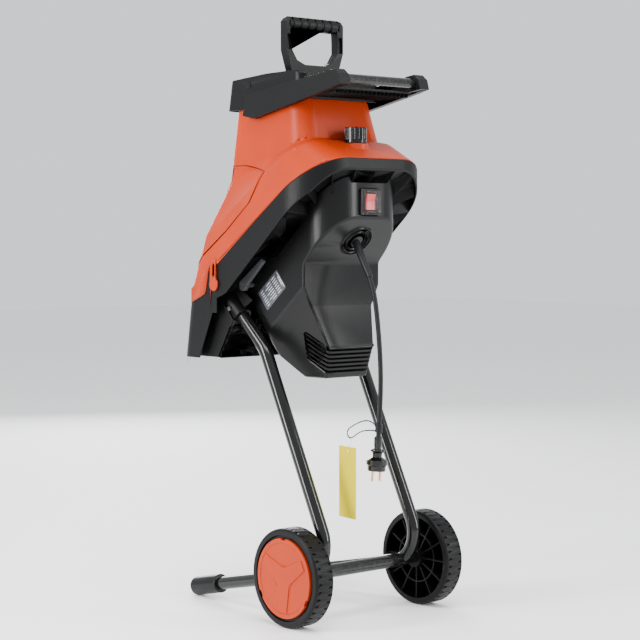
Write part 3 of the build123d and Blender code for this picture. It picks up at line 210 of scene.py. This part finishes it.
orange_plastic = moulded(
    "orange_plastic", light=(0.38, 0.027, 0.0004), dark=(0.34, 0.023, 0.0004),
    edge=(0.52, 0.06, 0.006), rough=(0.38, 0.44), grain_scale=1100.0, grain_depth=0.00005, wear=0.15,
    specular=0.2)
black_plastic = moulded(
    "black_plastic", light=(0.0035, 0.0035, 0.0038), dark=(0.0025, 0.0025, 0.0027),
    edge=(0.02, 0.02, 0.021), rough=(0.38, 0.46), grain_scale=900.0, grain_depth=0.00012, wear=0.3,
    specular=0.15)
satin_black_plastic = moulded(
    "satin_black_plastic", light=(0.004, 0.004, 0.0042), dark=(0.003, 0.003, 0.0032),
    edge=(0.03, 0.03, 0.03), rough=(0.27, 0.33), grain_scale=1200.0, grain_depth=0.00005, wear=0.3,
    specular=0.2)
glossy_black_plastic = moulded(
    "glossy_black_plastic", light=(0.003, 0.003, 0.003), dark=(0.002, 0.002, 0.002),
    edge=(0.03, 0.03, 0.03), rough=(0.14, 0.2), grain_scale=1500.0, grain_depth=0.00002, wear=0.25,
    coat=0.1, coat_roughness=0.05, specular=0.3)
grey_plastic = moulded(
    "grey_plastic", light=(0.05, 0.052, 0.055), dark=(0.04, 0.042, 0.045),
    edge=(0.12, 0.12, 0.12), rough=(0.4, 0.5), grain_scale=900.0, grain_depth=0.00008,
    specular=0.35)
red_plastic = moulded(
    "red_plastic", light=(0.55, 0.004, 0.005), dark=(0.48, 0.003, 0.004),
    edge=(0.8, 0.1, 0.08), rough=(0.2, 0.26), grain_scale=1500.0, grain_depth=0.00002, wear=0.2,
    coat=0.4, coat_roughness=0.08)
yellow_card = moulded(
    "yellow_card", light=(0.6, 0.49, 0.0), dark=(0.56, 0.45, 0.0),
    edge=(0.65, 0.55, 0.02), rough=(0.5, 0.6), grain_scale=1500.0, grain_depth=0.00003, wear=0.1,
    specular=0.1)
carbon = moulded(
    "carbon", light=(0.02, 0.02, 0.022), dark=(0.014, 0.014, 0.016),
    edge=(0.06, 0.06, 0.06), rough=(0.55, 0.7), grain_scale=1400.0, grain_depth=0.00015)


def painted_tube():
    """Gloss paint on steel tube: slight orange peel and dust, with a coat over it."""
    material, tree, shader = new_finish(
        "black_tube_paint", roughness=0.2, coat=0.2, coat_roughness=0.05, specular=0.25)
    slow = place_group(tree, patches, Scale=12.0)
    rub = place_group(tree, worn_edges, Amount=0.5)
    base = mixed_colour(tree, slow.outputs["Mask"], (0.003, 0.003, 0.003), (0.005, 0.005, 0.005))
    rubbed = mixed_colour(tree, rub.outputs["Mask"], base, (0.05, 0.05, 0.05))
    tree.links.new(rubbed, shader.inputs["Base Color"])
    tree.links.new(spread(tree, slow.outputs["Mask"], 0.0, 1.0, 0.13, 0.2), shader.inputs["Roughness"])
    place = tree.nodes.new("ShaderNodeTexCoord")
    peel = noise_in(tree, 260.0, 2.0)
    tree.links.new(place.outputs["Object"], peel.inputs["Vector"])
    bump_from(tree, shader, peel.outputs["Fac"], 0.00008)
    return material


def machined(name, light, dark, stretch, rough=(0.22, 0.38), metallic=1.0):
    """Bare metal with fine tool lines along one direction and slow stains."""
    material, tree, shader = new_finish(name, metallic=metallic)
    place = tree.nodes.new("ShaderNodeTexCoord")
    turn = tree.nodes.new("ShaderNodeMapping")
    turn.inputs["Scale"].default_value = stretch
    tree.links.new(place.outputs["Object"], turn.inputs["Vector"])
    lines = noise_in(tree, 60.0, 6.0, 0.6)
    tree.links.new(turn.outputs["Vector"], lines.inputs["Vector"])
    slow = place_group(tree, patches, Scale=25.0)
    tree.links.new(mixed_colour(tree, slow.outputs["Mask"], light, dark), shader.inputs["Base Color"])
    tree.links.new(spread(tree, lines.outputs["Fac"], 0.3, 0.7, *rough), shader.inputs["Roughness"])
    bump_from(tree, shader, lines.outputs["Fac"], 0.00004)
    return material


tube_paint = painted_tube()
bare_steel = machined("bare_steel", (0.56, 0.57, 0.58), (0.44, 0.45, 0.46), (1.0, 12.0, 12.0))
cast_metal = machined("cast_metal", (0.60, 0.61, 0.62), (0.48, 0.49, 0.50), (8.0, 8.0, 8.0), (0.42, 0.58))
copper = machined("copper", (0.86, 0.45, 0.26), (0.70, 0.33, 0.18), (1.0, 1.0, 20.0), (0.2, 0.34))


def rubber_finish(name, colour):
    """Dull smooth rubber or cord sheath with a faint bloom in patches."""
    material, tree, shader = new_finish(name, roughness=0.5, specular=0.2)
    slow = place_group(tree, patches, Scale=30.0)
    lighter = tuple(c * 1.8 for c in colour)
    tree.links.new(mixed_colour(tree, slow.outputs["Mask"], colour, lighter), shader.inputs["Base Color"])
    tree.links.new(spread(tree, slow.outputs["Mask"], 0.0, 1.0, 0.38, 0.52), shader.inputs["Roughness"])
    grain = place_group(tree, moulded_grain, Scale=1600.0)
    bump_from(tree, shader, grain.outputs["Height"], 0.00005)
    return material


black_rubber = rubber_finish("black_rubber", (0.004, 0.004, 0.0045))


def clear_finish():
    """Thin clear plastic over the switch."""
    material, tree, shader = new_finish("clear_plastic", roughness=0.08, coat=0.3)
    slow = place_group(tree, patches, Scale=40.0)
    tint = mixed_colour(tree, slow.outputs["Mask"], (0.93, 0.94, 0.95), (0.9, 0.91, 0.92))
    tree.links.new(tint, shader.inputs["Base Color"])
    tree.links.new(spread(tree, slow.outputs["Mask"], 0.0, 1.0, 0.05, 0.1), shader.inputs["Roughness"])
    shader.inputs["Transmission Weight"].default_value = 1.0
    shader.inputs["IOR"].default_value = 1.3
    shader.inputs["Alpha"].default_value = 0.25
    return material


def string_finish():
    """Twisted white thread."""
    material, tree, shader = new_finish("white_string", roughness=0.75, sheen=0.4)
    place = tree.nodes.new("ShaderNodeTexCoord")
    twist = tree.nodes.new("ShaderNodeTexWave")
    twist.inputs["Scale"].default_value = 420.0
    twist.bands_direction = "DIAGONAL"
    tree.links.new(place.outputs["Object"], twist.inputs["Vector"])
    strands = mixed_colour(tree, twist.outputs["Fac"], (0.62, 0.62, 0.60), (0.82, 0.82, 0.80))
    tree.links.new(strands, shader.inputs["Base Color"])
    bump_from(tree, shader, twist.outputs["Fac"], 0.0002)
    return material


def label_finish():
    """Dark printed film with a faint sheen."""
    return moulded(
        "label_film", light=(0.045, 0.05, 0.06), dark=(0.035, 0.04, 0.05), edge=(0.2, 0.2, 0.2),
        rough=(0.22, 0.3), grain_scale=1800.0, grain_depth=0.00001, wear=0.2, coat=0.4, coat_roughness=0.1)


clear_plastic, white_string, label_film = clear_finish(), string_finish(), label_finish()
print_white = moulded(
    "print_white", light=(0.7, 0.7, 0.7), dark=(0.62, 0.62, 0.62), edge=(0.8, 0.8, 0.8), rough=(0.3, 0.4),
    grain_scale=1800.0, grain_depth=0.00001, wear=0.0)

finish_of_slot = {
    "orange_plastic": orange_plastic, "black_plastic": black_plastic,
    "glossy_black_plastic": glossy_black_plastic, "black_tube": tube_paint, "bare_steel": bare_steel,
    "cast_metal": cast_metal, "copper": copper, "black_rubber": black_rubber, "carbon": carbon,
    "clear_plastic": clear_plastic, "red_plastic": red_plastic, "grey_plastic": grey_plastic,
    "yellow_card": yellow_card, "white_string": white_string, "label_film": label_film,
}
for name, node in nodes.items():
    node.data.materials.clear()
    node.data.materials.append(finish_of_slot[slot_of_node[name]])


# =====================================================================================
# Pieces
# =====================================================================================
def finish_piece(name, work, material, node=None, body=None):
    """Makes an object of a bmesh, gives it its finish and lets it ride."""
    mesh = bpy.data.meshes.new(name)
    work.to_mesh(mesh)
    work.free()
    mesh.materials.append(material)
    mesh.shade_smooth()
    piece = bpy.data.objects.new(name, mesh)
    scene.collection.objects.link(piece)
    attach(piece, body or body_of_node[node])
    return piece


def softened(node, width, material=None, segments=2, angle=32.0):
    """A merged copy of a CAD node with rounded edges, standing for the node."""
    work = bmesh.new()
    work.from_mesh(nodes[node].data)
    bmesh.ops.remove_doubles(work, verts=work.verts, dist=2e-6)
    bmesh.ops.dissolve_degenerate(work, edges=work.edges, dist=2e-6)
    bmesh.ops.dissolve_limit(work, angle_limit=math.radians(0.3), verts=work.verts, edges=work.edges)
    piece = finish_piece(node + "_form", work, material or finish_of_slot[slot_of_node[node]], node)
    piece.data.set_sharp_from_angle(angle=math.radians(angle))
    if width:
        bevel = piece.modifiers.new("edges", "BEVEL")
        bevel.width = width
        bevel.segments = segments
        bevel.limit_method = "ANGLE"
        bevel.angle_limit = math.radians(angle)
        bevel.use_clamp_overlap = False
        bevel.harden_normals = True
        bevel.miter_outer = "MITER_ARC"
    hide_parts(node)
    return piece


def flat_prism(work, corners, thickness):
    """Extrudes a flat outline given as points in space by the thickness vector."""
    face = work.faces.new([work.verts.new(corner) for corner in corners])
    grown = bmesh.ops.extrude_face_region(work, geom=[face])
    raised = [item for item in grown["geom"] if isinstance(item, bmesh.types.BMVert)]
    bmesh.ops.translate(work, verts=raised, vec=thickness)
    bmesh.ops.recalc_face_normals(work, faces=work.faces)


# ---- free cord: its own line, so it comes before the solid pieces ----
cord_diameter = 0.009
cord_points = [
    (0.0, -0.14665, 0.64884), (0.0003, -0.1615, 0.622), (0.0016, -0.1705, 0.590), (0.0034, -0.175, 0.551),
    (0.0058, -0.1782, 0.504), (0.0076, -0.1796, 0.455), (0.0074, -0.179, 0.404), (0.0054, -0.1776, 0.362),
    (0.004, -0.1766, 0.330),
]
cord_curve = bpy.data.curves.new("cord_line", "CURVE")
cord_curve.dimensions = "3D"
cord_curve.bevel_depth = cord_diameter / 2
cord_curve.bevel_resolution = 6
cord_curve.resolution_u = 12
cord_curve.use_fill_caps = True
cord_spline = cord_curve.splines.new("NURBS")
cord_spline.points.add(len(cord_points) - 1)
for point, place in zip(cord_spline.points, cord_points):
    point.co = (*place, 1.0)
cord_spline.order_u = 3
cord_spline.use_endpoint_u = True
cord_curve.materials.append(black_rubber)
cord = bpy.data.objects.new("cord_line", cord_curve)
scene.collection.objects.link(cord)
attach(cord, "frame")
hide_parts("cord")

softened("lower_housing", 0.0012)
softened("upper_housing", 0.003, segments=3)
softened("motor_housing", 0.0045, satin_black_plastic, segments=3)
softened("hopper_collar", 0.0010)
softened("pusher", 0.0012)
softened("locking_knob", 0.0008)
softened("switch_frame", 0.0006, satin_black_plastic)
softened("rocker", 0.0008)
softened("switch_cover", 0.0)
softened("cord_hook", 0.0008)
softened("rating_label", 0.0)
for side in ("left_", "right_"):
    softened(side + "wheel", 0.0007)
    softened(side + "hubcap", 0.0008)
    softened(side + "foot_cap", 0.0, satin_black_plastic)
    softened(side + "leg", 0.0)
for node in ("cross_tube", "handle_bar", "cord_sleeve", "drive_belt"):
    softened(node, 0.0)
plug_piece = softened("plug", 0.0006)
pins_piece = softened("plug_pins", 0.0006)
strap_piece = softened("cord_strap", 0.0)
string_piece = softened("tag_string", 0.0)

# ---- thin flaps over the hopper's front corners, where it meets the lower housing ----
flap_outline = [(0.120, 0.652), (0.126, 0.640), (0.1344, 0.6024), (0.1385, 0.5947),
                (0.1796, 0.5776), (0.1796, 0.604)]
flap_inner_x, flap_thickness = 0.1544, 0.0016
for side, side_name in ((-1, "left"), (1, "right")):
    flap_work = bmesh.new()
    flat_prism(flap_work, [(side * flap_inner_x, y, z) for y, z in flap_outline],
               (side * flap_thickness, 0.0, 0.0))
    flap = finish_piece(side_name + "_corner_flap", flap_work, orange_plastic, body="hopper")

# ---- plain bars and blocks of print on the rating label ----
label_tilt = math.radians(40.0)
label_at = Vector((-0.0957, 0.009, 0.604))
label_down = Vector((0.0, math.cos(label_tilt), -math.sin(label_tilt)))
label_across = Vector((0.0, -math.sin(label_tilt), -math.cos(label_tilt)))
print_relief = Vector((-0.00012, 0.0, 0.0))


def printed_bar(work, along, across, length, height):
    """A bar of print centred at a place on the label, in metres from its middle."""
    middle = label_at + label_down * along + label_across * across
    half_length, half_height = label_down * length / 2, label_across * height / 2
    corners = [middle - half_length - half_height, middle + half_length - half_height,
               middle + half_length + half_height, middle - half_length + half_height]
    flat_prism(work, corners, print_relief)


row_count, first_row, row_pitch, row_height = 7, -0.0155, 0.0052, 0.0011
long_line, short_line = 0.022, 0.015
header_bars, header_width = ((-0.0325, 0.034), (-0.0290, 0.022)), 0.0015
print_work = bmesh.new()
for row in range(row_count):
    row_across = first_row + row * row_pitch
    middle_length = long_line if row % 2 else short_line
    for start, length in ((-0.0225, 0.012), (-0.006, middle_length), (0.0205, 0.009)):
        printed_bar(print_work, start + length / 2, row_across, length, row_height)
for start, height in header_bars:
    printed_bar(print_work, start, 0.0, header_width, height)
label_print = finish_piece("label_print", print_work, print_white, body="frame")

# =====================================================================================
# Floor and light
# =====================================================================================
floor_mesh = bpy.data.meshes.new("floor")
floor_work = bmesh.new()
bmesh.ops.create_grid(floor_work, x_segments=1, y_segments=1, size=12.0)
floor_work.to_mesh(floor_mesh)
floor_work.free()
floor_finish = bpy.data.materials.new("floor")
floor_finish.use_nodes = True
floor_finish.node_tree.nodes["Principled BSDF"].inputs["Base Color"].default_value = (0.93, 0.93, 0.93, 1.0)
floor_finish.node_tree.nodes["Principled BSDF"].inputs["Roughness"].default_value = 0.6
floor_mesh.materials.append(floor_finish)
floor = bpy.data.objects.new("floor", floor_mesh)
floor.location = (0.0, 0.0, -0.0005)
scene.collection.objects.link(floor)

world = bpy.data.worlds.new("studio")
world.use_nodes = True
world.node_tree.nodes["Background"].inputs["Color"].default_value = (0.95, 0.97, 1.0, 1.0)
world.node_tree.nodes["Background"].inputs["Strength"].default_value = 1.15
scene.world = world


def soft_light(name, place, aim, size, power, tall):
    """A rectangular studio light turned towards a point."""
    data = bpy.data.lights.new(name, "AREA")
    data.shape = "RECTANGLE"
    data.size = size
    data.size_y = tall
    data.energy = power
    light = bpy.data.objects.new(name, data)
    light.location = place
    light.rotation_euler = (Vector(aim) - Vector(place)).to_track_quat("-Z", "Y").to_euler()
    scene.collection.objects.link(light)


# name, place, point it faces, width, power, height
for bank in (("left_bank", (-3.3, 0.7, 1.6), (0.0, 0.0, 0.7), 0.8, 190.0, 2.4),
             ("rear_bank", (1.7, -3.0, 1.5), (0.0, 0.0, 0.6), 0.6, 110.0, 2.2),
             ("top_bank", (-0.6, -0.9, 3.3), (0.0, 0.0, 0.5), 2.0, 120.0, 2.0),
             ("front_bank", (1.6, 3.0, 1.6), (0.0, 0.0, 0.7), 1.4, 90.0, 2.0)):
    soft_light(*bank)
